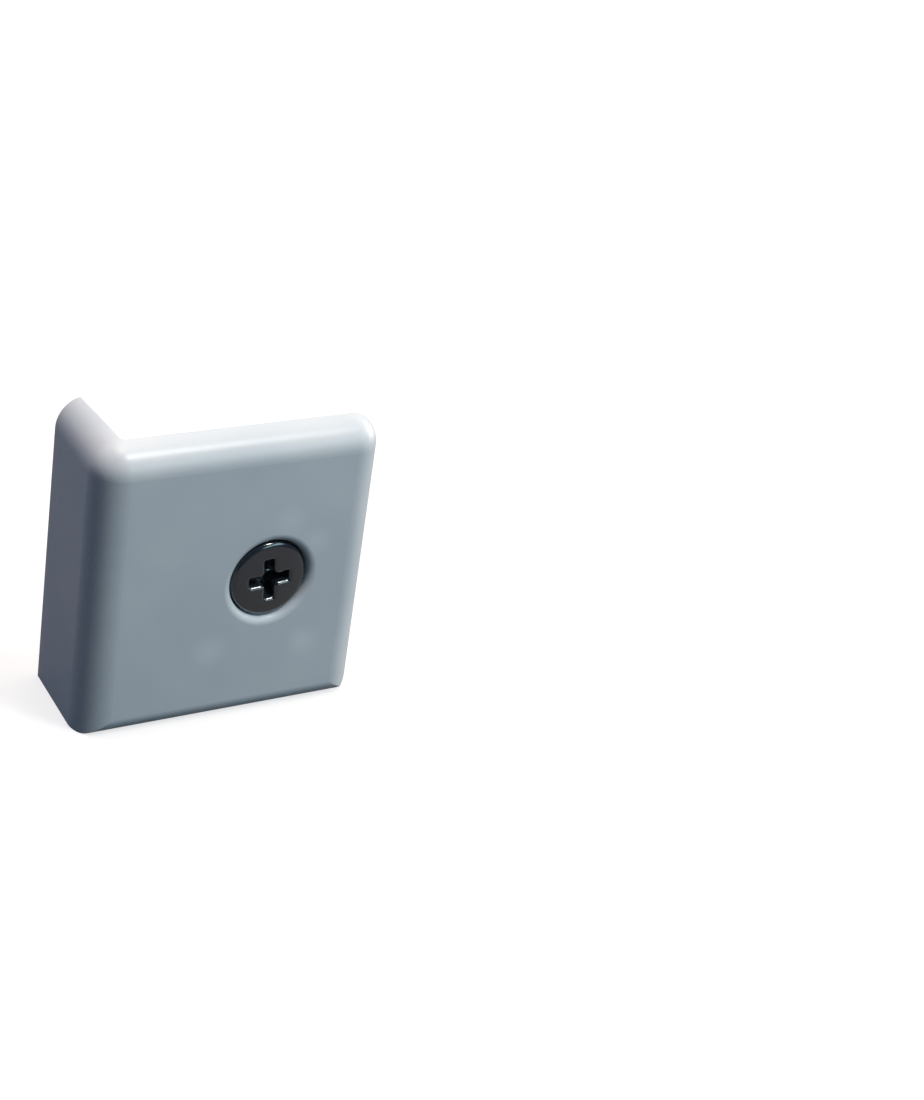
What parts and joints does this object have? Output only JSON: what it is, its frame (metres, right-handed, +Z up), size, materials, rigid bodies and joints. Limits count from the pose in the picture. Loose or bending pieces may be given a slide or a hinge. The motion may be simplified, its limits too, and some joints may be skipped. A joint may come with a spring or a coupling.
{
  "type": "profile end cap",
  "caption": "L-shaped moulded cap that closes the end of a slotted rail, its front plate held by a sunk cross-recess screw and a slot nut",
  "frame": {"origin": "centre of the cap's base, on the surface that it stands on", "axes": "+X along the rail from the closed end to the free side, +Y from the front face to the rail's back, +Z up"},
  "size_m": [0.0402, 0.0166, 0.041],
  "materials": {
    "cap_plastic": "light grey moulded plastic, fine satin surface",
    "black_screw": "black, glossy, on steel",
    "zinc_steel": "bright zinc on steel"
  },
  "bodies": {
    "root": {"end_cap": "cap_plastic", "fixing_screw": "black_screw", "slot_nut": "zinc_steel"}
  },
  "joints": []
}
